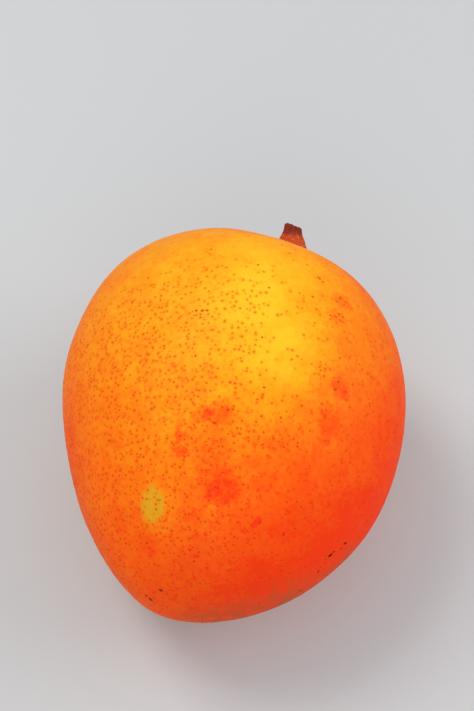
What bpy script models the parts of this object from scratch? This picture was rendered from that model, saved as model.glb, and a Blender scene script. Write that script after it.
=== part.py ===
"""A ripe mango lying on its cheek, with the woody stub of its stalk.

Metres, +Z up. +Y points to the stalk end and -X to the edge that the apex bends
to. The fruit lies as it rolls to rest, on a small flat pressed into its lower
cheek. The origin is on the surface under the middle of the whole object.

The fruit is shaped in a frame of its own, which the empty "mango" then turns and
sets down: length along Y, breadth along X, and thickness, cheek to cheek, along Z.
"""

import math

import bmesh
import bpy
from mathutils import Matrix, Vector, noise

# Fruit
LENGTH = 0.1077
BREADTH = 0.092
THICKNESS = 0.080
EDGE_TAPER = 0.145  # share by which the breadth grows to the stalk end and shrinks to the apex
EDGE_SKEW = 0.09  # how much more the -X edge tapers than the +X edge does
CHEEK_TAPER = 0.18  # the same as EDGE_TAPER, for the thickness
CHEEK_FULLNESS = 0.10  # share by which both ends are thicker than an ellipsoid's
APEX_SWEEP = 0.0062  # how far the apex bends towards -X
UNDULATION = 0.0006
UNDULATION_PITCH = 2.1  # waves of the undulation in one radius
GRID = 22  # squares along each side of the ball that the fruit is shaped from

# Local swellings: towards, height and spread in degrees. A negative height is a hollow.
STALK_END = Vector((0.235, 0.95, 0.22)).normalized()
SWELLINGS = {
    "shoulder": (Vector((-0.50, 0.85, 0.0)).normalized(), 0.0044, 44.6),
    "back": (Vector((0.71, -0.50, 0.0)).normalized(), 0.0017, 28.5),
    "stalk hollow": (STALK_END, -0.0036, 17.0),
}

# Where it rests
FLAT_DEPTH = 0.0014  # how deep the lower cheek is pressed flat
FOOT_DEPTH = 0.0010  # height of the skin that counts as touching while it rolls to rest
ROLLS = 60
ROLL_GAIN = 1.2

# Stalk stub: radius at each height above the skin
STALK_LEAN = Vector((-0.03, 0.95, 0.30)).normalized()
STALK_LENGTH = 0.0087
STALK_SUNK = 0.0035  # how far the blank runs into the fruit before the skin trims it
TIP_RADIUS = 0.0022
TIP_EDGE = 0.0004
NECK_RADIUS = 0.0027
NECK_HEIGHT = 0.0058
COLLAR_RADIUS = 0.0037
COLLAR_HEIGHT = 0.0034
FOOT_RADIUS = 0.0045
STALK_SIDES = 24
SEAT_GAP = 0.0003  # between the skin and the stalk's foot

FRUIT_COLOUR = (0.93, 0.27, 0.02, 1.0)
STALK_COLOUR = (0.25, 0.05, 0.02, 1.0)


def clear_scene():
    for old in list(bpy.data.objects):
        bpy.data.objects.remove(old, do_unlink=True)


def new_collection(name, hidden=False):
    made = bpy.data.collections.new(name)
    made.hide_render = hidden
    bpy.context.scene.collection.children.link(made)
    return made


def plain_material(name, colour, roughness):
    made = bpy.data.materials.new(name)
    made.use_nodes = True
    shader = made.node_tree.nodes["Principled BSDF"]
    shader.inputs["Base Color"].default_value = colour
    shader.inputs["Roughness"].default_value = roughness
    shader.inputs["Metallic"].default_value = 0.0
    return made


def skin_point(direction):
    """The skin's place in a direction from the middle of the fruit."""
    across, along, through = direction
    edge = 1 + EDGE_TAPER * along - EDGE_SKEW * across * along
    cheek = 1 + CHEEK_TAPER * along + CHEEK_FULLNESS * along * along
    place = Vector(
        (
            BREADTH / 2 * across * edge - APEX_SWEEP * ((1 - along) / 2) ** 2,
            LENGTH / 2 * along,
            THICKNESS / 2 * through * cheek,
        )
    )
    for towards, height, spread in SWELLINGS.values():
        off = math.degrees(direction.angle(towards))
        place += towards * height * math.exp(-((off / spread) ** 2))
    return place + direction * UNDULATION * noise.noise(direction * UNDULATION_PITCH)


def ball(grid):
    """A ball of even squares: a cut cube, each point moved out to the unit sphere."""
    made = bmesh.new()
    bmesh.ops.create_cube(made, size=2.0)
    bmesh.ops.subdivide_edges(made, edges=made.edges, cuts=grid - 1, use_grid_fill=True)
    for vertex in made.verts:
        even = [math.tan(c * math.pi / 4) for c in vertex.co]
        vertex.co = Vector(even).normalized()
    return made


def centroid_of(solid):
    """The middle of a closed mesh's volume."""
    volume, moment = 0.0, Vector()
    for loops in solid.calc_loop_triangles():
        a, b, c = (loop.vert.co for loop in loops)
        share = a.dot(b.cross(c))
        volume += share
        moment += share * (a + b + c) / 4
    return moment / volume


def resting_attitude(points):
    """The turn that leaves the foot straight under the centroid, which is at zero.

    Each step rolls the fruit from its foot towards its own weight, as it would
    roll on a table, until there is no lean left.
    """
    turn = Matrix.Identity(3)
    for _ in range(ROLLS):
        turned = [turn @ p for p in points]
        low = min(p.z for p in turned)
        touching = [p for p in turned if p.z < low + FOOT_DEPTH]
        foot = sum(touching, Vector()) / len(touching)
        lean = Vector((-foot.x, -foot.y, 0.0))
        axis = Vector((0.0, 0.0, 1.0)).cross(lean)
        if axis.length < 1e-9:
            break
        turn = Matrix.Rotation(ROLL_GAIN * lean.length / -low, 3, axis) @ turn
    return turn


def make_fruit(parts):
    """The whole fruit, and the turn that its empty gives it."""
    solid = ball(GRID)
    for vertex in solid.verts:
        vertex.co = skin_point(vertex.co)
    centroid = centroid_of(solid)
    turn = resting_attitude([v.co - centroid for v in solid.verts])

    up = turn.transposed() @ Vector((0.0, 0.0, 1.0))
    flat = min(v.co.dot(up) for v in solid.verts) + FLAT_DEPTH
    for vertex in solid.verts:
        sunk = flat - vertex.co.dot(up)
        if sunk > 0:
            vertex.co += up * sunk

    mesh = bpy.data.meshes.new("fruit")
    solid.to_mesh(mesh)
    solid.free()
    mesh.shade_smooth()
    mesh.materials.append(plain_material("mango skin", FRUIT_COLOUR, 0.45))
    fruit = bpy.data.objects.new("fruit", mesh)
    parts.objects.link(fruit)
    return fruit, turn


def seat_cutter(fruit, cutters):
    """The fruit grown by the seat's gap, which trims the stalk's foot to the skin."""
    mesh = fruit.data.copy()
    grown = [v.co + v.normal * SEAT_GAP for v in mesh.vertices]
    for vertex, place in zip(mesh.vertices, grown):
        vertex.co = place
    cutter = bpy.data.objects.new("stalk_seat", mesh)
    cutter.hide_render = True
    cutter.display_type = "WIRE"
    cutters.objects.link(cutter)
    return cutter


def make_stalk(parts, cutter):
    """A turned blank, flared at the foot and trimmed to the skin by the cutter."""
    profile = (
        (0.0, STALK_LENGTH),
        (TIP_RADIUS - TIP_EDGE, STALK_LENGTH),
        (TIP_RADIUS, STALK_LENGTH - TIP_EDGE),
        (NECK_RADIUS, NECK_HEIGHT),
        (COLLAR_RADIUS, COLLAR_HEIGHT),
        (FOOT_RADIUS, 0.0),
        (FOOT_RADIUS, -STALK_SUNK),
        (0.0, -STALK_SUNK),
    )
    mesh = bpy.data.meshes.new("stalk")
    edges = [(i, i + 1) for i in range(len(profile) - 1)]
    mesh.from_pydata([(r, 0.0, z) for r, z in profile], edges, [])
    mesh.materials.append(plain_material("stalk bark", STALK_COLOUR, 0.8))
    stalk = bpy.data.objects.new("stalk", mesh)
    parts.objects.link(stalk)

    turned = stalk.modifiers.new("turned", "SCREW")
    turned.steps = turned.render_steps = STALK_SIDES
    turned.use_merge_vertices = True
    turned.merge_threshold = 0.00001
    trim = stalk.modifiers.new("foot", "BOOLEAN")
    trim.operation = "DIFFERENCE"
    trim.object = cutter

    stalk.location = skin_point(STALK_END)
    stalk.rotation_mode = "QUATERNION"
    stalk.rotation_quaternion = STALK_LEAN.to_track_quat("Z", "Y")
    return stalk


def corners_of(objects):
    """Lowest and highest corner of the objects as they are shown."""
    bpy.context.view_layer.update()
    graph = bpy.context.evaluated_depsgraph_get()
    places = []
    for shown in (o.evaluated_get(graph) for o in objects):
        mesh = shown.to_mesh()
        places += [shown.matrix_world @ v.co for v in mesh.vertices]
        shown.to_mesh_clear()
    low = Vector(min(p[i] for p in places) for i in range(3))
    high = Vector(max(p[i] for p in places) for i in range(3))
    return low, high


def main():
    clear_scene()
    parts = new_collection("mango")
    cutters = new_collection("cutters", hidden=True)
    mango = bpy.data.objects.new("mango", None)
    parts.objects.link(mango)

    fruit, turn = make_fruit(parts)
    cutter = seat_cutter(fruit, cutters)
    stalk = make_stalk(parts, cutter)
    for piece in (fruit, cutter, stalk):
        piece.parent = mango

    mango.rotation_mode = "QUATERNION"
    mango.rotation_quaternion = turn.to_quaternion()
    low, high = corners_of((fruit, stalk))
    mango.location = (-(low.x + high.x) / 2, -(low.y + high.y) / 2, -low.z)


main()
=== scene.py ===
"""The finished look of a ripe mango that lies on its cheek, with the stub of its stalk.

Metres, +Z up. The fruit rests on z = 0, and its stalk end points to +Y.
"""

import math

import bmesh
import bpy
from mathutils import Matrix, Vector, noise
from mathutils.bvhtree import BVHTree


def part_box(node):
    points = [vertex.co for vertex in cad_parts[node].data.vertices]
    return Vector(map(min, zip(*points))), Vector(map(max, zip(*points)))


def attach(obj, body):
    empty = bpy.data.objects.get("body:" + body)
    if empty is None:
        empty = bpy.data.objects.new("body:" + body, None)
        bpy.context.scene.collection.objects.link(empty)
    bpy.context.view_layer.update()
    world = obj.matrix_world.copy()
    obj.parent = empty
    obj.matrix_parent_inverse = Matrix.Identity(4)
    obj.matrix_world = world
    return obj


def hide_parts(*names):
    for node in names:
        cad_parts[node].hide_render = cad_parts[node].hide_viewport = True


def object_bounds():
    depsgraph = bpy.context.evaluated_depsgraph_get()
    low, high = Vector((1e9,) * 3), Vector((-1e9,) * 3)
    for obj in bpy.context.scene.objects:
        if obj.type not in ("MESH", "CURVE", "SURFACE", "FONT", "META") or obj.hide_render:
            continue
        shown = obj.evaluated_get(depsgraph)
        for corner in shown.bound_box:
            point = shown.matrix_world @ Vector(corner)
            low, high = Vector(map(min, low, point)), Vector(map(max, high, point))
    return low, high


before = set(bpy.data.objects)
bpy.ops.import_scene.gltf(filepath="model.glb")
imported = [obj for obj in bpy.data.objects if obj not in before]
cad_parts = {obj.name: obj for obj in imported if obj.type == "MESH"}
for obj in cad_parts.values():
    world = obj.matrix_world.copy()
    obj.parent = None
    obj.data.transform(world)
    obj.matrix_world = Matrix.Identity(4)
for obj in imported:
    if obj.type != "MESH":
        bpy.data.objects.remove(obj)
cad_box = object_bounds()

# ---------------------------------------------------------------------------
# Peel
# The whole outside of the fruit: one thin waxy skin over soft flesh, grown
# smooth but a little uneven, drawn in round the stalk, and pressed flat where
# the fruit lies. It is yellow where it ripened last, and blushes red elsewhere;
# part of that is painted light on its top and painted shade low down and away
# from the key lamp.

PEEL_FINENESS = 2  # times that every face is cut in four
DENT_HEIGHT = 0.00022
DENT_PITCH = 0.019
RIPPLE_HEIGHT = 0.00005
RIPPLE_PITCH = 0.0042
PUCKER_HEIGHT = 0.00035  # of the folds that run in to the stalk
PUCKER_REACH = 0.0095
PUCKER_TURNS = 2.2
COLLAR_HEIGHT = 0.00040  # of the low ring that the stalk stands in
COLLAR_RADIUS = 0.0048
COLLAR_WIDTH = 0.0014
FLAT_CLEAR = 0.0005  # height above the floor up to which the flat stays flat
FLAT_FADE = 0.005

YELLOW = (0.93, 0.50, 0.014, 1.0)
GOLD = (0.93, 0.36, 0.006, 1.0)
ORANGE = (0.93, 0.22, 0.003, 1.0)
SCARLET = (0.93, 0.105, 0.002, 1.0)
RED = (0.90, 0.038, 0.002, 1.0)
UNRIPE = (0.66, 0.36, 0.012, 1.0)
# Brown painted shade, for the low edges that turn from the light.
PAINTED_SHADE_BROWN = (0.32, 0.10, 0.022, 1.0)
HALO = (0.90, 0.105, 0.003, 1.0)
BLUSH_AND_SHADE_STOPS = ((0.0, YELLOW), (0.22, GOLD), (0.45, ORANGE), (0.72, SCARLET), (1.0, RED))

# The blush, partly painted shade, deepens across the fruit towards +X and -Y,
# away from the key lamp, and down from the top of the cheek.
BLUSH_AND_SHADE_SPAN = 0.085
CHEEK_TOP = 0.080
CHEEK_DEPTH = 0.050

# Where the peel is palest, its own yellow with painted light on the top of the cheek:
# middle, radius and, if it isn't round, squeeze.
PALE_CROWN = ((0.0080, 0.0070, 0.0790), 0.025, (1.2, 0.6, 1.0))
PALE_CHEEK = ((0.0165, -0.0030, 0.0770), 0.013)

# Where the blush gathers, or thins if its strength is negative: middle, radius and strength.
BLOTCHES = (
    ((-0.0005, -0.018, 0.074), 0.0052, 0.34),
    ((-0.0045, -0.019, 0.073), 0.0040, 0.26),
    ((-0.0092, -0.0235, 0.0705), 0.0036, 0.32),
    ((-0.0088, -0.0275, 0.0690), 0.0036, 0.32),
    ((-0.002, -0.026, 0.070), 0.0090, 0.15),
    ((0.002, -0.034, 0.066), 0.0072, 0.36),
    ((0.011, -0.039, 0.060), 0.0018, 0.40),
    ((0.028, -0.005, 0.070), 0.0048, 0.24),
    ((0.027, -0.015, 0.068), 0.0060, 0.16),
    ((0.027, 0.019, 0.073), 0.0045, 0.22),
    ((0.026, 0.013, 0.075), 0.0040, 0.22),
    ((0.030, 0.033, 0.060), 0.0120, 0.17),
    ((-0.043, -0.020, 0.044), 0.0180, 0.12),
    ((-0.015, -0.045, 0.052), 0.0060, 0.14),
    ((-0.026, -0.022, 0.062), 0.0050, 0.14),
    ((0.001, -0.0395, 0.0625), 0.0030, -0.20),
    ((-0.013, -0.040, 0.060), 0.0085, -0.14),
    ((-0.013, -0.020, 0.070), 0.0060, -0.10),
)
RAGGED_WAVES = 260.0  # in one metre, of the ragged edge that every patch has

# The blush's own unevenness, from broad to fine: pitch, detail, roughness and strength.
MOTTLING = (
    (0.022, 3.0, 0.5, 0.20),
    (0.0075, 3.0, 0.6, 0.36),
    (0.0024, 4.0, 0.75, 0.36),
)

# Where it is still green, and where painted shade turns it brown low on the edges away from
# the key lamp: middle, radius and squeeze.
GREEN_PATCH = ((-0.0145, -0.038, 0.060), 0.0070, (1.4, 1.0, 1.0))
PAINTED_SHADE_STRIP = (
    ((0.020, -0.050, 0.030), 0.020),
    ((0.034, -0.036, 0.030), 0.014),
    ((0.002, -0.056, 0.030), 0.015),
)

LENTICEL_PITCH = 0.00120  # side of the cell of peel that may hold one lenticel
LENTICEL_HALO = (0.00095, 0.00015)  # where it begins and where it is full, from the middle
LENTICEL_CORE = (0.00058, 0.00012)
LENTICEL_TINT = (0.84, 0.52, 0.40)


def flat_end(mesh, middle):
    """The centre and normal of a mesh's largest flat face that looks away from the middle."""
    area, moment = {}, {}
    for face in mesh.polygons:
        if face.normal.dot(face.center - middle) < 0:
            continue
        facing = tuple(round(c, 2) for c in face.normal)
        area[facing] = area.get(facing, 0.0) + face.area
        moment[facing] = moment.get(facing, Vector()) + face.area * face.center
    facing = max(area, key=area.get)
    return moment[facing] / area[facing], Vector(facing).normalized()


def surface_of(mesh):
    places = [v.co.copy() for v in mesh.vertices]
    return BVHTree.FromPolygons(places, [tuple(face.vertices) for face in mesh.polygons])


def merged_copy(node, name):
    """A new piece with a node's mesh, its doubles merged and its triangles paired."""
    joined = bmesh.new()
    joined.from_mesh(node.data)
    bmesh.ops.remove_doubles(joined, verts=joined.verts, dist=0.000002)
    bmesh.ops.join_triangles(
        joined,
        faces=joined.faces,
        angle_face_threshold=math.radians(40),
        angle_shape_threshold=math.radians(60),
    )
    mesh = bpy.data.meshes.new(name)
    joined.to_mesh(mesh)
    joined.free()
    return new_piece(name, mesh)


def new_piece(name, mesh):
    piece = bpy.data.objects.new(name, mesh)
    bpy.context.scene.collection.objects.link(piece)
    return piece


def socket_of(sockets, name):
    """A node's socket by its number, or by its name among those in use."""
    if isinstance(name, int):
        return sockets[name]
    return next(s for s in sockets if s.enabled and s.name == name)


class Wire:
    """An output of a node. Arithmetic on it adds Math nodes to its tree."""

    def __init__(self, tree, socket=None):
        self.tree = tree
        self.socket = socket

    def node(self, kind, settings=None, inputs=None, output=0):
        """Adds a node: its settings come first, then its sockets' values or links."""
        made = self.tree.nodes.new(kind)
        for name, value in (settings or {}).items():
            if name == "stops":
                stops = made.color_ramp.elements
                while len(stops) < len(value):
                    stops.new(1.0)
                for stop, (position, colour) in zip(stops, value):
                    stop.position = position
                    stop.color = colour
            else:
                setattr(made, name, value)
        for name, value in (inputs or {}).items():
            socket = socket_of(made.inputs, name)
            if isinstance(value, Wire):
                self.tree.links.new(value.socket, socket)
            else:
                socket.default_value = value
        if not len(made.outputs):
            return Wire(self.tree)
        return Wire(self.tree, socket_of(made.outputs, output))

    def other(self, name):
        """Another output of the same node."""
        return Wire(self.tree, socket_of(self.socket.node.outputs, name))

    def math(self, operation, *values):
        return self.node("ShaderNodeMath", {"operation": operation}, dict(enumerate(values)))

    def vector(self, operation, *values, output="Vector"):
        settings = {"operation": operation}
        return self.node("ShaderNodeVectorMath", settings, dict(enumerate(values)), output)

    def scaled(self, factor):
        return self.node(
            "ShaderNodeVectorMath", {"operation": "SCALE"}, {"Vector": self, "Scale": factor}
        )

    def __add__(self, other):
        return self.math("ADD", self, other)

    def __radd__(self, other):
        return self.math("ADD", other, self)

    def __sub__(self, other):
        return self.math("SUBTRACT", self, other)

    def __rsub__(self, other):
        return self.math("SUBTRACT", other, self)

    def __mul__(self, other):
        return self.math("MULTIPLY", self, other)

    def __rmul__(self, other):
        return self.math("MULTIPLY", other, self)

    def __truediv__(self, other):
        return self.math("DIVIDE", self, other)

    def __rtruediv__(self, other):
        return self.math("DIVIDE", other, self)

    def __lt__(self, other):
        return self.math("LESS_THAN", self, other)

    def clamped(self):
        return self.math("MINIMUM", self.math("MAXIMUM", self, 0.0), 1.0)

    def rise(self, low, high):
        """0 at low and 1 at high, smooth between. Low may be the higher number."""
        inputs = {"Value": self, "From Min": low, "From Max": high}
        return self.node("ShaderNodeMapRange", {"interpolation_type": "SMOOTHSTEP"}, inputs)

    def distance(self, place):
        return self.vector("DISTANCE", self, place, output="Value")

    def near(self, centre, radius, squeeze=(1.0, 1.0, 1.0)):
        """For a place: 1 at the centre and 0 beyond the radius, which each squeeze divides."""
        off = self.vector("MULTIPLY", self.vector("SUBTRACT", self, centre), squeeze)
        return off.vector("LENGTH", off, output="Value").rise(radius, 0.0)

    def cloud(self, pitch, detail=2.0, roughness=0.5):
        """Noise about 0, mostly within 0.25 of it, over a wire that holds a place."""
        inputs = {"Vector": self, "Scale": 1.0 / pitch, "Detail": detail, "Roughness": roughness}
        return self.node("ShaderNodeTexNoise", None, inputs) - 0.5

    def random(self, low, high, seed):
        """A random number for each point of the geometry."""
        inputs = {2: low, 3: high, 8: seed}
        return self.node("FunctionNodeRandomValue", {"data_type": "FLOAT"}, inputs, 1)

    def nearest_cell(self, pitch):
        """The place of the nearest of many points, which are scattered one to a cell."""
        inputs = {"Vector": self, "Scale": 1.0 / pitch}
        return self.node("ShaderNodeTexVoronoi", None, inputs, "Position")

    def mixed(self, start, end):
        """From the start colour to the end colour, as this wire goes from 0 to 1."""
        inputs = {0: self, 6: start, 7: end}
        return self.node("ShaderNodeMix", {"data_type": "RGBA"}, inputs, 2)

    def bump(self, height, strength, distance):
        """The surface's normal, roughened by a height."""
        inputs = {"Strength": strength, "Distance": distance, "Height": height}
        return self.node("ShaderNodeBump", None, inputs)


SOCKET_KINDS = {
    float: "NodeSocketFloat",
    int: "NodeSocketInt",
    Vector: "NodeSocketVector",
}


class Grower:
    """A Geometry Nodes tree with one named input for each size."""

    def __init__(self, name, sizes):
        self.tree = bpy.data.node_groups.new(name, "GeometryNodeTree")
        self.sizes = sizes
        face = self.tree.interface
        face.new_socket("Geometry", in_out="INPUT", socket_type="NodeSocketGeometry")
        for label, value in sizes.items():
            face.new_socket(label, in_out="INPUT", socket_type=SOCKET_KINDS[type(value)])
        face.new_socket("Geometry", in_out="OUTPUT", socket_type="NodeSocketGeometry")
        self.start = Wire(self.tree).node("NodeGroupInput")

    def __getitem__(self, label):
        return self.start.other(label)

    def grow(self, base, geometry, material):
        """Ends the tree in real faces, runs it on a piece, and returns the mesh."""
        real = geometry.node("GeometryNodeRealizeInstances", None, {"Geometry": geometry})
        inputs = {"Geometry": real, "Material": material}
        real = real.node("GeometryNodeSetMaterial", None, inputs)
        real.node("NodeGroupOutput", None, {"Geometry": real})
        modifier = base.modifiers.new(self.tree.name, "NODES")
        modifier.node_group = self.tree
        for socket in self.tree.interface.items_tree:
            if socket.in_out == "INPUT" and socket.name in self.sizes:
                modifier[socket.identifier] = self.sizes[socket.name]
        graph = bpy.context.evaluated_depsgraph_get()
        made = bpy.data.meshes.new_from_object(base.evaluated_get(graph), depsgraph=graph)
        base.modifiers.remove(modifier)
        return made


def lenticel_share(place):
    """The share of the peel's cells that hold a lenticel: most on the -X side, few by the stalk."""
    split = place.node("ShaderNodeSeparateXYZ", None, {"Vector": place})
    x, y = split, split.other("Y")
    crowded = x.rise(0.018, -0.008) * y.rise(0.026, 0.008) * y.rise(-0.064, -0.040)
    thinned = 0.9 * place.cloud(0.018) + 0.9 * place.cloud(0.0055)
    return -0.02 + 0.24 * y.rise(0.030, 0.008) + 0.74 * crowded + thinned


def new_material(name):
    made = bpy.data.materials.new(name)
    made.use_nodes = True
    made.node_tree.nodes.clear()
    return made, Wire(made.node_tree)


def drifted(place, by):
    """A place moved about a little, so that what is near it has a ragged edge."""
    inputs = {"Vector": place, "Scale": RAGGED_WAVES, "Detail": 4.0, "Roughness": 0.6}
    drift = place.node("ShaderNodeTexNoise", None, inputs, "Color")
    drift = drift.vector("SUBTRACT", drift, (0.5, 0.5, 0.5)).scaled(by)
    return place.vector("ADD", place, drift)


def blush_and_shade_colour(place):
    """The peel's colour before its marks, from yellow to the deepest red: its own blush, with
    painted light on the top and painted shade low down and away from the key lamp.
    """
    split = place.node("ShaderNodeSeparateXYZ", None, {"Vector": place})
    x, y, z = split, split.other("Y"), split.other("Z")
    # Painted shade mixed with the real blush: deeper away from the key lamp and down the cheek.
    lean = (x - y) / BLUSH_AND_SHADE_SPAN
    sag = (CHEEK_TOP - z) / CHEEK_DEPTH
    blush_and_shade = 0.23 + 0.20 * lean + 0.44 * (lean - 0.3).clamped() + (1.08 - 0.70 * sag) * sag
    # Painted light mixed with the peel's own yellow: palest on the top of the cheek.
    blush_and_shade = blush_and_shade - 0.22 * place.near(*PALE_CROWN)
    blush_and_shade = blush_and_shade - 0.09 * place.near(*PALE_CHEEK).rise(0.0, 0.7)
    blush_and_shade = blush_and_shade + 0.16 * y.rise(0.036, 0.050)

    ragged = drifted(place, 0.007)
    patchy = 0.8 + 2.2 * place.cloud(0.0017, 3.0, 0.6)
    for middle, radius, strength in BLOTCHES:
        blush_and_shade = blush_and_shade + strength * ragged.near(middle, radius).rise(0.05, 0.70) * patchy

    for pitch, detail, roughness, strength in MOTTLING:
        blush_and_shade = blush_and_shade + strength * place.cloud(pitch, detail, roughness)
    flecks = place.cloud(0.0012, 3.0, 0.6).rise(0.04, 0.20)
    blush_and_shade = blush_and_shade + 0.18 * flecks * blush_and_shade.rise(0.14, 0.50)
    return place.node("ShaderNodeValToRGB", {"stops": BLUSH_AND_SHADE_STOPS}, {"Fac": blush_and_shade}, "Color")


def patched(place, colour):
    """A colour with the green patch and the brown painted shade low on the edges laid over it."""
    green = drifted(place, 0.0022).near(*GREEN_PATCH).rise(0.05, 0.55)
    colour = (green * (0.78 + 1.6 * place.cloud(0.0012))).clamped().mixed(colour, UNRIPE)
    # Painted shade: brown low on the edges that turn away from the key lamp.
    ragged = drifted(place, 0.006)
    painted_shade = 0.0
    for middle, radius in PAINTED_SHADE_STRIP:
        painted_shade = painted_shade + ragged.near(middle, radius)
    painted_shade = painted_shade * (0.6 + 2.5 * place.cloud(0.003))
    return (painted_shade * 0.80).clamped().mixed(colour, PAINTED_SHADE_BROWN)


def pore_marks(place):
    """How far a place is in the halo and in the core of a lenticel, each from 0 to 1."""
    cell = place.nearest_cell(LENTICEL_PITCH)
    apart = place.distance(cell)
    lot = place.node("ShaderNodeSeparateColor", None, {"Color": cell.other("Color")}, "Red")
    strength = (lot < lenticel_share(place)) * (0.35 + 0.65 * lot.other("Green"))
    return apart.rise(*LENTICEL_HALO) * strength, apart.rise(*LENTICEL_CORE) * strength


def finished(made, place, inputs):
    """Gives a material its shader, with these inputs, and returns the material."""
    shader = place.node("ShaderNodeBsdfPrincipled", None, inputs, "BSDF")
    shader.node("ShaderNodeOutputMaterial", None, {"Surface": shader})
    return made


def peel_material():
    made, start = new_material("mango peel")
    place = start.node("ShaderNodeTexCoord", output="Object")
    halo, core = pore_marks(place)
    colour = patched(place, blush_and_shade_colour(place))
    colour = (halo * 0.40).mixed(colour, HALO)
    colour = (core * 0.75).mixed(colour, colour.vector("MULTIPLY", colour, LENTICEL_TINT))
    grain = place.cloud(0.0007, 2.0, 0.6)
    roughness = 0.56 + 0.20 * place.cloud(0.009, 3.0) + 0.12 * grain + 0.1 * core
    height = 0.5 * grain + 0.6 * place.cloud(0.0024) - 0.3 * halo
    wax = {
        "Base Color": colour,
        "Roughness": roughness,
        "Normal": place.bump(height, 0.22, 0.0003),
        "Specular IOR Level": 0.07,
    }
    return finished(made, place, wax)


fruit_low, fruit_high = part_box("fruit")
fruit_middle = (Vector(fruit_low) + Vector(fruit_high)) / 2
stalk_end, stalk_axis = flat_end(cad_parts["stalk"].data, fruit_middle)
fruit_surface = surface_of(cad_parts["fruit"].data)
stalk_foot = fruit_surface.ray_cast(stalk_end, -stalk_axis)[0]
stalk_length = (stalk_end - stalk_foot).length

relief = Grower(
    "peel relief",
    {
        "Fineness": PEEL_FINENESS,
        "Dent height": DENT_HEIGHT,
        "Dent pitch": DENT_PITCH,
        "Ripple height": RIPPLE_HEIGHT,
        "Ripple pitch": RIPPLE_PITCH,
        "Pucker height": PUCKER_HEIGHT,
        "Pucker reach": PUCKER_REACH,
        "Pucker turns": PUCKER_TURNS,
        "Collar height": COLLAR_HEIGHT,
        "Collar radius": COLLAR_RADIUS,
        "Collar width": COLLAR_WIDTH,
        "Flat clear": FLAT_CLEAR,
        "Flat fade": FLAT_FADE,
        "Stalk foot": stalk_foot,
        "Stalk axis": stalk_axis,
    },
)
fine = relief.start.node(
    "GeometryNodeSubdivisionSurface",
    None,
    {"Mesh": relief["Geometry"], "Level": relief["Fineness"]},
)
place = fine.node("GeometryNodeInputPosition")
off = place.vector("SUBTRACT", place, relief["Stalk foot"])
along = off.vector("DOT_PRODUCT", off, relief["Stalk axis"], output="Value")
across = off.vector("SUBTRACT", off, relief["Stalk axis"].scaled(along))
reach = across.vector("LENGTH", across, output="Value")
spoke = across.vector("NORMALIZE", across)
folds = spoke.cloud(1.0 / relief["Pucker turns"])
drawn_in = reach.rise(relief["Pucker reach"], relief["Collar radius"])
collar = place.math("ABSOLUTE", reach - relief["Collar radius"])
height = (
    2.0 * relief["Dent height"] * place.cloud(relief["Dent pitch"])
    + 2.0 * relief["Ripple height"] * place.cloud(relief["Ripple pitch"])
    + 3.0 * relief["Pucker height"] * folds * drawn_in
    + relief["Collar height"] * collar.rise(relief["Collar width"], 0.0)
)
level = place.node("ShaderNodeSeparateXYZ", None, {"Vector": place}, "Z")
height = height * level.rise(relief["Flat clear"], relief["Flat fade"])
normal = place.node("GeometryNodeInputNormal")
fine = fine.node(
    "GeometryNodeSetPosition", None, {"Geometry": fine, "Offset": normal.scaled(height)}
)
fine = fine.node("GeometryNodeSetShadeSmooth", None, {"Geometry": fine})

blank = merged_copy(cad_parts["fruit"], "peel_blank")
peel = new_piece("peel", relief.grow(blank, fine, peel_material()))
bpy.data.objects.remove(blank)
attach(peel, "root")
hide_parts("fruit")

# ---------------------------------------------------------------------------
# Lenticels
# The breathing pores of the peel, healed over with cork: thousands of small
# dark specks, barely raised, scattered in loose clusters over the skin.

LENTICEL_DENSITY = 2300000.0  # points tried on a square metre of peel, many to a cell
LENTICEL_REACH = 0.00032  # how near the peel the middle of a cell must lie
LENTICEL_RADIUS = 0.00020
LENTICEL_RISE = 0.28  # height of a speck as a share of its radius
LENTICEL_SMALLEST = 0.55
LENTICEL_LARGEST = 1.35
LENTICEL_FLOOR = 0.0010  # none grow lower than this, where the fruit is pressed flat

PORE_DARK = (0.70, 0.37, 0.26, 1.0)  # shares that the cork keeps of the peel's colour, painted light and shade included
PORE_PALE = (0.92, 0.63, 0.44, 1.0)


def cork_material(name, colour_of):
    """Rough dry cork, whose colour is a function of the place on it."""
    made, start = new_material(name)
    place = start.node("ShaderNodeTexCoord", output="Object")
    cork = {
        "Base Color": colour_of(place),
        "Roughness": 0.8 + 0.3 * place.cloud(0.002),
        "Normal": place.bump(place.cloud(0.0001), 0.4, 0.0001),
        "Specular IOR Level": 0.07,
    }
    return finished(made, place, cork)


def pore_colour(place):
    """The peel's colour, with its painted light and shade, darkened by the cork."""
    colour = blush_and_shade_colour(place)
    tone = (0.5 + 3.0 * place.cloud(0.003)).clamped()
    return colour.vector("MULTIPLY", colour, tone.mixed(PORE_DARK, PORE_PALE))


pores = Grower(
    "lenticels",
    {
        "Density": LENTICEL_DENSITY,
        "Cell pitch": LENTICEL_PITCH,
        "Reach": LENTICEL_REACH,
        "Radius": LENTICEL_RADIUS,
        "Rise": LENTICEL_RISE,
        "Smallest": LENTICEL_SMALLEST,
        "Largest": LENTICEL_LARGEST,
        "Floor": LENTICEL_FLOOR,
        "Seed": 3,
    },
)
skin = pores["Geometry"]
spots = skin.node(
    "GeometryNodeDistributePointsOnFaces",
    None,
    {"Mesh": skin, "Density": pores["Density"], "Seed": pores["Seed"]},
)
place = spots.node("GeometryNodeInputPosition")
spots = spots.node(
    "GeometryNodeSetPosition",
    None,
    {"Geometry": spots, "Position": place.nearest_cell(pores["Cell pitch"])},
)
spots = spots.node("GeometryNodeMergeByDistance", None, {"Geometry": spots, "Distance": 0.00001})
touch = spots.node("GeometryNodeProximity", None, {0: skin, 2: place}, "Position")
colour = place.nearest_cell(pores["Cell pitch"]).other("Color")
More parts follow.
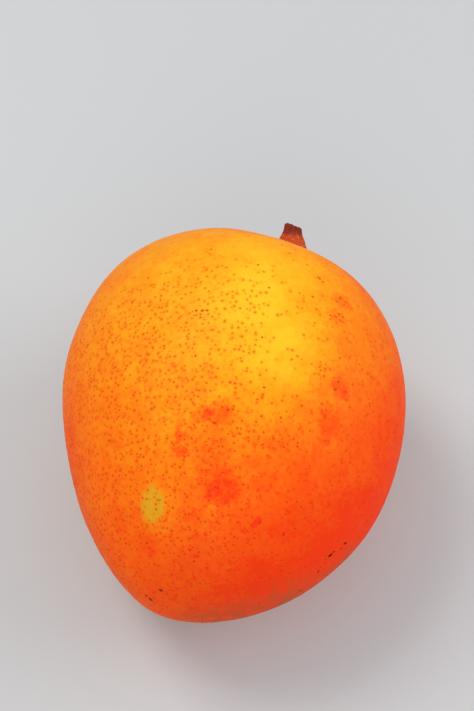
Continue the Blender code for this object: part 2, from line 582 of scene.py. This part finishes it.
chance = place.node("FunctionNodeSeparateColor", None, {"Color": colour}, "Red")
kept = (touch.other("Distance") < pores["Reach"]) * (chance < lenticel_share(place))
level = place.node("ShaderNodeSeparateXYZ", None, {"Vector": place}, "Z")
kept = kept * (pores["Floor"] < level)
spots = spots.node("GeometryNodeDeleteGeometry", None, {"Geometry": spots, "Selection": 1.0 - kept})
normal = place.node("GeometryNodeInputNormal")
outward = place.node(
    "GeometryNodeSampleNearestSurface", {"data_type": "FLOAT_VECTOR"}, {0: skin, 1: normal}
)
turn = place.node("FunctionNodeAlignRotationToVector", {"axis": "Z"}, {"Vector": outward})
size = place.random(pores["Smallest"], pores["Largest"], 5)
bead = place.node("GeometryNodeMeshIcoSphere", None, {"Radius": pores["Radius"]})
flatness = place.node(
    "ShaderNodeCombineXYZ", None, {"X": size, "Y": size, "Z": size * pores["Rise"]}
)
spots = spots.node("GeometryNodeSetPosition", None, {"Geometry": spots, "Position": touch})
spots = spots.node(
    "GeometryNodeInstanceOnPoints",
    None,
    {"Points": spots, "Instance": bead, "Rotation": turn, "Scale": flatness},
)
spots = spots.node("GeometryNodeSetShadeSmooth", None, {"Geometry": spots})
pore_cork = cork_material("lenticel cork", pore_colour)
lenticels = new_piece("lenticels", pores.grow(peel, spots, pore_cork))
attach(lenticels, "root")

# ---------------------------------------------------------------------------
# Scabs
# Dry scars where twigs and insects marked the peel: short dark scratches, and
# loose clusters of corky specks, each a little proud of the skin.

# Near which place, its length and width, and its turn on the peel in degrees.
SCABS = (
    ((0.0203, 0.0238, 0.0756), 0.00150, 0.00050, -35),
    ((0.0214, 0.0230, 0.0753), 0.00080, 0.00045, -20),
    ((0.0262, 0.0199, 0.0733), 0.00070, 0.00055, -50),
    ((0.0275, 0.0192, 0.0725), 0.00090, 0.00045, -35),
    ((0.0274, 0.0180, 0.0729), 0.00060, 0.00050, 30),
    ((0.0255, 0.0180, 0.0742), 0.00060, 0.00045, 10),
    ((0.0241, 0.0126, 0.0754), 0.00090, 0.00060, -15),
    ((0.0256, 0.0130, 0.0747), 0.00050, 0.00050, 0),
    ((0.0263, 0.0142, 0.0741), 0.00070, 0.00055, 45),
    ((0.0275, 0.0139, 0.0733), 0.00060, 0.00050, -20),
    ((0.0268, 0.0123, 0.0739), 0.00110, 0.00060, -40),
    ((0.0277, -0.0041, 0.0711), 0.00090, 0.00060, 60),
    ((0.0272, -0.0062, 0.0708), 0.00110, 0.00070, 35),
    ((0.0336, -0.0342, 0.0425), 0.00120, 0.00070, -10),
    ((0.0327, -0.0355, 0.0419), 0.00070, 0.00050, 40),
    ((0.0301, -0.0381, 0.0427), 0.00145, 0.00090, 0),
    ((0.0309, -0.0372, 0.0430), 0.00080, 0.00060, 50),
    ((0.0275, -0.0415, 0.0398), 0.00080, 0.00055, 20),
    ((0.0234, -0.0453, 0.0354), 0.00100, 0.00050, 25),
    ((-0.0111, -0.0526, 0.0426), 0.00110, 0.00060, -20),
    ((-0.0138, -0.0531, 0.0375), 0.00140, 0.00070, -35),
    ((-0.0149, -0.0527, 0.0384), 0.00070, 0.00050, 10),
    ((-0.0093, 0.0075, 0.0791), 0.00070, 0.00065, 0),
    ((-0.0078, 0.0075, 0.0794), 0.00085, 0.00070, 20),
    ((-0.0065, 0.0076, 0.0796), 0.00065, 0.00065, 0),
    ((0.0098, -0.0108, 0.0757), 0.00070, 0.00060, 0),
    ((0.0045, 0.0234, 0.0794), 0.00065, 0.00050, 30),
    ((0.0081, 0.0161, 0.0800), 0.00065, 0.00060, 0),
    ((0.0080, 0.0014, 0.0799), 0.00055, 0.00050, 0),
)
SCAB_RISE = 0.00009
SCAB_SHADE_FADE = (0.046, 0.060)  # heights between which they go from painted shade to lit

# A lit and a painted-shade pair of the same cork: the shaded pair is for scabs low on the edges.
LIT_SCAB = ((0.46, 0.070, 0.003, 1.0), (0.74, 0.145, 0.004, 1.0))
SHADED_SCAB = ((0.060, 0.008, 0.002, 1.0), (0.36, 0.030, 0.003, 1.0))


def add_scab(heap, number, middle, outward, length, width, angle):
    """A low lumpy dome of dry cork on the peel, pointed along its length."""
    east = (Vector((1.0, 0.0, 0.0)) - outward * outward.x).normalized()
    east.rotate(Matrix.Rotation(math.radians(angle), 3, outward))
    upright = Matrix((east, outward.cross(east), outward)).transposed()
    made = bmesh.ops.create_icosphere(heap, subdivisions=3, radius=1.0)["verts"]
    for vertex in made:
        along, across, up = vertex.co
        lump = noise.noise(vertex.co * 1.7 + Vector((number, 0.0, 0.0)))
        along_peel = length / 2 * along * (1 + 0.3 * lump)
        across_peel = width / 2 * (1 - 0.35 * along**2) * (1 + 0.5 * lump) * across
        rise = SCAB_RISE * up * (1 + 0.6 * lump)
        vertex.co = middle + upright @ Vector((along_peel, across_peel, rise))


def scab_mesh():
    peel_surface = surface_of(peel.data)
    heap = bmesh.new()
    for number, (near, *size) in enumerate(SCABS):
        middle, outward, _, _ = peel_surface.find_nearest(Vector(near))
        add_scab(heap, number, middle, outward, *size)
    for face in heap.faces:
        face.smooth = True
    mesh = bpy.data.meshes.new("scabs")
    heap.to_mesh(mesh)
    heap.free()
    return mesh


def scab_colour(place):
    """Red-brown on the upper cheek, and darkened by painted shade to nearly black low on the edges.
    """
    height = place.node("ShaderNodeSeparateXYZ", None, {"Vector": place}, "Z")
    tone = (0.5 + 2.5 * place.cloud(0.0015)).clamped()
    lit_tone = tone.mixed(*LIT_SCAB)
    shaded_tone = tone.mixed(*SHADED_SCAB)
    return height.rise(*SCAB_SHADE_FADE).mixed(shaded_tone, lit_tone)


scabs = new_piece("scabs", scab_mesh())
scabs.data.materials.append(cork_material("dry scab", scab_colour))
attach(scabs, "root")

# ---------------------------------------------------------------------------
# Stalk
# The stub of the fruit stalk: a short woody neck that flares where it meets the
# peel, with a worn, slanting broken end and the dark pit of its pith.

STALK_SIDES = 112
WALL_ROWS = 44
END_ROWS = 20
STALK_PROFILE = (  # radius at each height above the peel
    (-0.0012, 0.00500),
    (0.0000, 0.00465),
    (0.0015, 0.00425),
    (0.0033, 0.00375),
    (0.0045, 0.00318),
    (0.0058, 0.00274),
    (0.0071, 0.00240),
    (0.0088, 0.00226),
)
STALK_RIDGES = ((5, 0.7, 0.045), (9, 2.0, 0.030))  # how many, their turn and share of the radius
STALK_GNARL = 0.10  # shares of the radius
STALK_FIBRE = 0.05
BREAK_ABOVE = 0.0003  # how far the bark's highest point stands above the plain stub's end
BREAK_SLANT = 0.00130
BREAK_NICK = 0.00030
BREAK_GRIT = 0.00010
BREAK_EDGE = 0.00050  # height of the rounding between the wall and the broken end
BREAK_INSET = 0.00035
PIT_DEPTH = 0.00120
PIT_RADIUS = 0.0013
PIT_MIDDLE = (-0.0006, 0.0002)

FLARE_HIGHLIGHT_FADE = (0.0062, 0.0040)  # heights at which the flare's red, partly a painted highlight, begins and is full
WORN_FADE = (0.0070, 0.0080)
BARK_DARK = (0.045, 0.006, 0.003, 1.0)
BARK_RED = (0.36, 0.036, 0.012, 1.0)
FLARE_RED_AND_HIGHLIGHT = (0.62, 0.078, 0.014, 1.0)
BROKEN_WOOD = (0.16, 0.030, 0.012, 1.0)


def smooth_at(profile, at):
    """The value, at a position, of a smooth curve through pairs of position and value."""
    at = min(max(at, profile[0][0]), profile[-1][0])
    i = max(k for k in range(len(profile) - 1) if profile[k][0] <= at)
    (low, start), (high, end) = profile[i], profile[i + 1]
    before = profile[max(i - 1, 0)][1]
    after = profile[min(i + 2, len(profile) - 1)][1]
    t = (at - low) / (high - low)
    return (
        (2 * t**3 - 3 * t**2 + 1) * start
        + (t**3 - 2 * t**2 + t) * (end - before) / 2
        + (3 * t**2 - 2 * t**3) * end
        + (t**3 - t**2) * (after - start) / 2
    )


def rim_height(spoke, angle, top):
    """Height of the worn rim, which is low on one side and nicked all round."""
    slant = BREAK_SLANT * (0.5 + 0.5 * math.cos(angle + 0.35))
    nick = noise.noise(Vector((spoke.x * 2.4, spoke.y * 2.4, 3.0)))
    return top - slant + BREAK_NICK * nick


def wall_point(share, rim):
    """Radius and height on the wall, from its foot to where it rounds over at the rim."""
    foot = STALK_PROFILE[0][0]
    tall = foot + (rim - foot) * share
    over = max(0.0, 1 - (rim - tall) / BREAK_EDGE)
    return smooth_at(STALK_PROFILE, tall) - BREAK_INSET * over**2.2, tall


def end_point(share, rim, spoke, top):
    """Radius and height on the broken end, from its rim in to its middle."""
    wide = (smooth_at(STALK_PROFILE, rim) - BREAK_INSET) * (1 - share)
    off_pit = math.hypot(spoke.x * wide - PIT_MIDDLE[0], spoke.y * wide - PIT_MIDDLE[1])
    tall = rim + BREAK_GRIT * math.sin(math.pi * min(1.0, share * 3))
    tall -= PIT_DEPTH * max(0.0, 1 - (off_pit / PIT_RADIUS) ** 2) ** 1.3
    tall += (top - BREAK_SLANT / 2 - rim) * share**1.5
    tall += BREAK_GRIT * noise.noise(Vector((spoke.x * wide, spoke.y * wide, 0)) * 1500)
    return wide, tall


def stalk_point(row, angle):
    """A point of the bark or of the broken end, with the stalk upright on the origin."""
    spoke = Vector((math.cos(angle), math.sin(angle), 0.0))
    top = stalk_length + BREAK_ABOVE
    rim = rim_height(spoke, angle, top)
    if row < WALL_ROWS:
        wide, tall = wall_point(row / (WALL_ROWS - 1), rim)
        rough = 1.0
    else:
        share = (row - WALL_ROWS + 1) / END_ROWS
        wide, tall = end_point(share, rim, spoke, top)
        rough = 1 - share
    ridges = sum(high * math.cos(count * angle + turn) for count, turn, high in STALK_RIDGES)
    gnarl = noise.noise(Vector((spoke.x * 1.6, spoke.y * 1.6, row * 0.10)))
    fibre = noise.noise(Vector((spoke.x * 7.0, spoke.y * 7.0, row * 0.06 + 9.0)))
    wide *= 1 + (ridges + STALK_GNARL * gnarl + STALK_FIBRE * fibre) * rough
    return Vector((spoke.x * wide, spoke.y * wide, tall))


def stalk_mesh():
    """The stub, whose points keep their upright place as the attribute "straight"."""
    upright = stalk_axis.to_track_quat("Z", "Y").to_matrix()
    if upright.col[0].x < 0:
        upright = upright @ Matrix.Rotation(math.pi, 3, "Z")
    loft = bmesh.new()
    straight = loft.verts.layers.float_vector.new("straight")
    rows = []
    for row in range(WALL_ROWS + END_ROWS):
        ring = []
        for side in range(STALK_SIDES):
            local = stalk_point(row, 2 * math.pi * side / STALK_SIDES)
            ring.append(loft.verts.new(stalk_foot + upright @ local))
            ring[-1][straight] = local
        rows.append(ring)
    for lower, upper in zip(rows, rows[1:]):
        for side in range(STALK_SIDES):
            after = (side + 1) % STALK_SIDES
            loft.faces.new((lower[side], lower[after], upper[after], upper[side]))
    loft.faces.new(list(reversed(rows[0])))
    bmesh.ops.remove_doubles(loft, verts=loft.verts, dist=0.000001)
    bmesh.ops.recalc_face_normals(loft, faces=loft.faces)
    for face in loft.faces:
        face.smooth = True
    mesh = bpy.data.meshes.new("stalk_stub")
    loft.to_mesh(mesh)
    loft.free()
    return mesh


def bark_material():
    made, start = new_material("stalk bark")
    local = start.node("ShaderNodeAttribute", {"attribute_name": "straight"}, None, "Vector")
    up = local.node("ShaderNodeSeparateXYZ", None, {"Vector": local}, "Z")
    grain = local.vector("MULTIPLY", local, (1.0, 1.0, 0.22)).cloud(0.0011, 3.0, 0.6)
    fine = local.cloud(0.0004)
    colour = (0.50 + 1.5 * grain + 0.9 * fine).clamped().mixed(BARK_DARK, BARK_RED)
    # The flare's own red, partly a painted highlight: lighter towards the foot of the stalk.
    flare_and_highlight = (up + 0.004 * grain).rise(*FLARE_HIGHLIGHT_FADE)
    colour = (flare_and_highlight * (0.80 + 1.6 * fine)).clamped().mixed(colour, FLARE_RED_AND_HIGHLIGHT)
    worn = (up + 0.003 * grain).rise(*WORN_FADE)
    colour = (worn * 0.45).mixed(colour, BROKEN_WOOD)
    bark = {
        "Base Color": colour,
        "Roughness": 0.72 + 0.3 * grain,
        "Normal": local.bump(grain + 0.5 * fine, 0.7, 0.0003),
        "Specular IOR Level": 0.15,
    }
    return finished(made, local, bark)


stalk = new_piece("stalk_stub", stalk_mesh())
stalk.data.materials.append(bark_material())
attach(stalk, "root")
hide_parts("stalk")

# ---------------------------------------------------------------------------
# Stalk scurf
# Small pale flakes of the stalk's own bark, which lift as it dries out and
# cling to its flare.

SCURF_DENSITY = 550000.0
SCURF_RADIUS = 0.00034
SCURF_BREADTH = 0.75  # shares of a flake's length
SCURF_RISE = 0.45
SCURF_SMALLEST = 0.35
SCURF_LARGEST = 1.0
SCURF_LOW = 0.0012  # heights on the stalk between which the flakes lie
SCURF_HIGH = 0.0054

SCURF_DARK = (0.62, 0.11, 0.030, 1.0)
SCURF_PALE = (0.82, 0.33, 0.14, 1.0)


def scurf_colour(place):
    return (0.5 + 2.5 * place.cloud(0.001)).clamped().mixed(SCURF_DARK, SCURF_PALE)


scurf_bark = cork_material("bark scurf", scurf_colour)
flakes = Grower(
    "stalk scurf",
    {
        "Density": SCURF_DENSITY,
        "Radius": SCURF_RADIUS,
        "Breadth": SCURF_BREADTH,
        "Rise": SCURF_RISE,
        "Smallest": SCURF_SMALLEST,
        "Largest": SCURF_LARGEST,
        "Low": SCURF_LOW,
        "High": SCURF_HIGH,
        "Seed": 4,
    },
)
bark = flakes["Geometry"]
straight = bark.node(
    "GeometryNodeInputNamedAttribute", {"data_type": "FLOAT_VECTOR"}, {"Name": "straight"}
)
up = bark.node("ShaderNodeSeparateXYZ", None, {"Vector": straight}, "Z")
spots = bark.node(
    "GeometryNodeDistributePointsOnFaces",
    None,
    {
        "Mesh": bark,
        "Selection": (flakes["Low"] < up) * (up < flakes["High"]),
        "Density": flakes["Density"],
        "Seed": flakes["Seed"],
    },
)
turn = spots.other("Rotation")
size = bark.random(flakes["Smallest"], flakes["Largest"], 2)
flake = bark.node("GeometryNodeMeshIcoSphere", None, {"Radius": flakes["Radius"]})
flatness = bark.node(
    "ShaderNodeCombineXYZ",
    None,
    {"X": size, "Y": size * flakes["Breadth"], "Z": size * flakes["Rise"]},
)
spots = spots.node(
    "GeometryNodeInstanceOnPoints",
    None,
    {"Points": spots, "Instance": flake, "Rotation": turn, "Scale": flatness},
)
spots = spots.node("GeometryNodeSetShadeSmooth", None, {"Geometry": spots})
scurf = new_piece("stalk_scurf", flakes.grow(stalk, spots, scurf_bark))
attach(scurf, "root")

# ---------------------------------------------------------------------------
# Floor, light and camera
# A plain pale table, painted matt, under three soft square lamps and a pale
# sky. The camera looks down on the fruit from beyond its apex.

TABLE_HALF = 4.0  # half the side of the table
TABLE_COLOUR = (0.55, 0.55, 0.54, 1.0)
SKY_COLOUR = (0.86, 0.92, 1.0, 1.0)
SKY_STRENGTH = 0.70
LAMPS = (  # name, direction, distance, side, power in watts and colour
    ("key_lamp", (-0.45, 0.20, 0.85), 0.9, 0.35, 3.2, (1.0, 0.98, 0.95)),
    ("side_lamp", (0.85, 0.15, 0.50), 1.2, 0.8, 5.0, (1.0, 0.98, 0.96)),
    ("front_lamp", (0.00, -0.85, 0.40), 1.2, 0.8, 3.2, (1.0, 0.98, 0.96)),
)
LENS_LENGTH = 70.0  # millimetres
CAMERA_TURN = math.radians(6.8)
CAMERA_RISE = math.radians(57.0)
CAMERA_DISTANCE = 0.3851
CAMERA_AIM = Vector((-0.0006, 0.0205, 0.0))


def new_lamp(name, towards, distance, size, power, colour):
    """A square lamp that faces the fruit from a direction."""
    data = bpy.data.lights.new(name, "AREA")
    data.size = size
    data.energy = power
    data.color = colour
    lamp = new_piece(name, data)
    direction = Vector(towards).normalized()
    lamp.location = fruit_middle + direction * distance
    lamp.rotation_euler = direction.to_track_quat("Z", "Y").to_euler()


sheet = bmesh.new()
bmesh.ops.create_grid(sheet, x_segments=8, y_segments=8, size=TABLE_HALF)
table_mesh = bpy.data.meshes.new("table")
sheet.to_mesh(table_mesh)
sheet.free()
table = new_piece("table", table_mesh)
paint, start = new_material("table paint")
matt = {"Base Color": TABLE_COLOUR, "Roughness": 0.9, "Specular IOR Level": 0.1}
finished(paint, start, matt)
table_mesh.materials.append(paint)

sky = bpy.data.worlds.new("pale sky")
sky.use_nodes = True
air = sky.node_tree.nodes["Background"]
air.inputs["Color"].default_value = SKY_COLOUR
air.inputs["Strength"].default_value = SKY_STRENGTH
bpy.context.scene.world = sky

for lamp in LAMPS:
    new_lamp(*lamp)

middle = (Vector(cad_box[0]) + Vector(cad_box[1])) / 2
lens = bpy.data.cameras.new("camera")
lens.lens = LENS_LENGTH
lens.sensor_width = 36.0
lens.clip_start = 0.01
camera = new_piece("camera", lens)
backward = Vector(
    (
        math.sin(CAMERA_TURN) * math.cos(CAMERA_RISE),
        -math.cos(CAMERA_TURN) * math.cos(CAMERA_RISE),
        math.sin(CAMERA_RISE),
    )
)
camera.location = middle + CAMERA_AIM + backward * CAMERA_DISTANCE
camera.rotation_euler = backward.to_track_quat("Z", "Y").to_euler()
bpy.context.scene.camera = camera
bpy.context.scene.view_settings.view_transform = "Standard"
